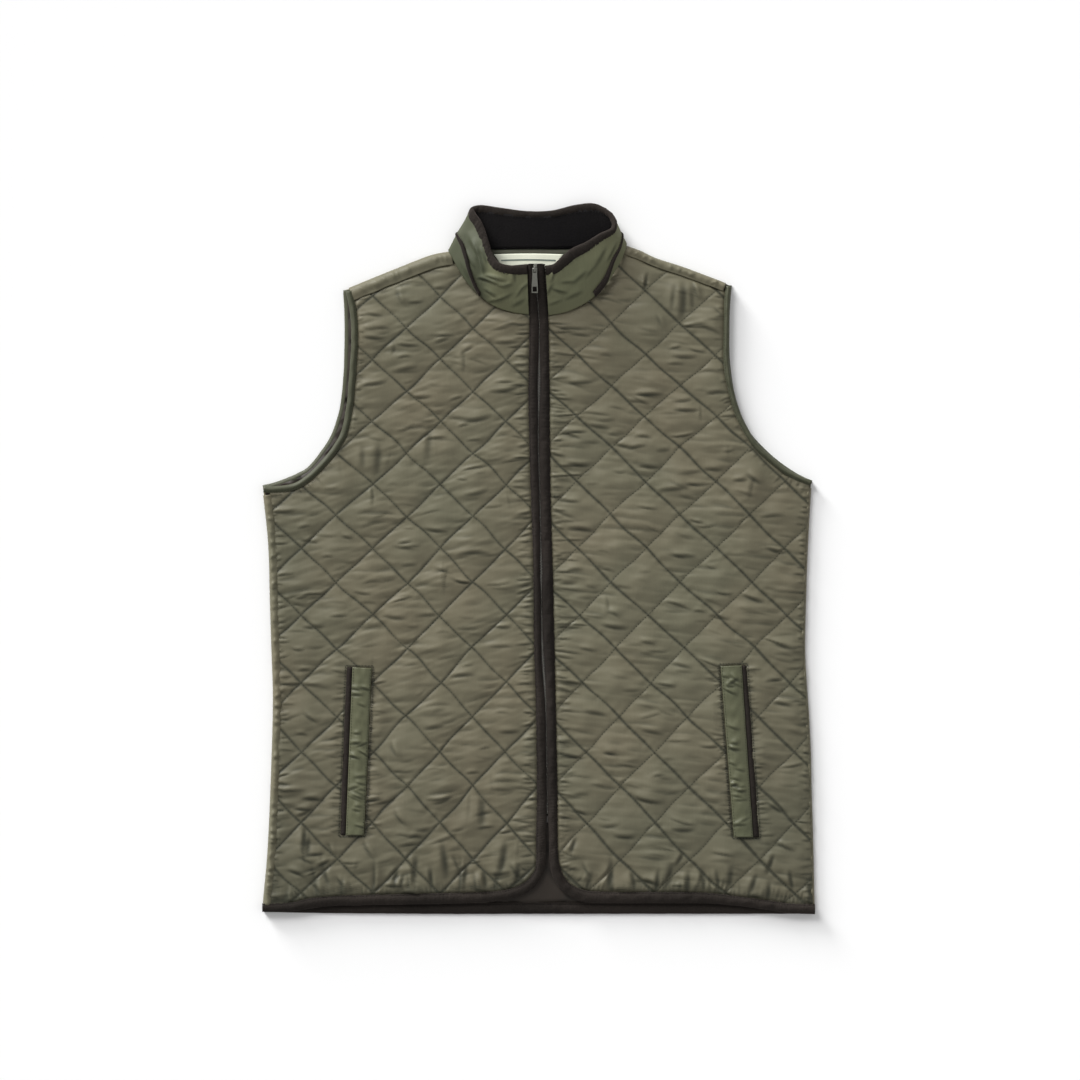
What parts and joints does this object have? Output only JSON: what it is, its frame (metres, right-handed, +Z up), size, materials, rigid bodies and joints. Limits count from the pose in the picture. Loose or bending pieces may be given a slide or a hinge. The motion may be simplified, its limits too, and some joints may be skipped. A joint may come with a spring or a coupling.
{
  "type": "quilted vest",
  "caption": "Men's diamond-quilted padded vest laid flat on its back: stand collar, bound full-length front zip with a turning pull tab, welt pockets, bound armholes and hem.",
  "frame": {"origin": "on the surface that the vest lies on, under the middle of its overall box", "axes": "+X to the viewer's right across the chest, +Y from hem to collar, +Z up, out of the front"},
  "size_m": [0.5796, 0.7462, 0.0418],
  "materials": {
    "shell": "satin taupe-olive shell cloth, quilted",
    "welt": "light olive cloth",
    "binding": "dark brown brushed binding",
    "armhole_binding": "olive binding",
    "collar": "olive cloth",
    "collar_lining": "near-black ribbed pile",
    "label": "off-white woven tape",
    "zip_metal": "dull grey metal"
  },
  "bodies": {
    "vest": {"back_panel": "shell", "front_panel_left": "shell", "front_panel_right": "shell", "pocket_welt_left": "welt", "pocket_welt_right": "welt", "pocket_lip_left": "binding", "pocket_lip_right": "binding", "front_binding_left": "binding", "front_binding_right": "binding", "hem_binding_back": "binding", "armhole_binding_front_left": "armhole_binding", "armhole_binding_front_right": "armhole_binding", "armhole_binding_back_left": "armhole_binding", "armhole_binding_back_right": "armhole_binding", "collar_shell": "collar", "collar_stand": "collar", "collar_piping": "binding", "collar_binding": "binding", "collar_lining": "collar_lining", "neck_facing": "collar", "label_bare": "label", "zip_chain": "binding", "zip_box": "zip_metal", "zip_slider": "zip_metal"},
    "pull_tab": {"pull_tab": "zip_metal"}
  },
  "joints": [
    {"name": "pull_tab_hinge", "type": "hinge", "parent": "vest", "child": "pull_tab", "pos_m": [-0.0039, 0.3025, 0.0386], "axis": [-1, 0, 0], "range_deg": [0, 160]}
  ]
}
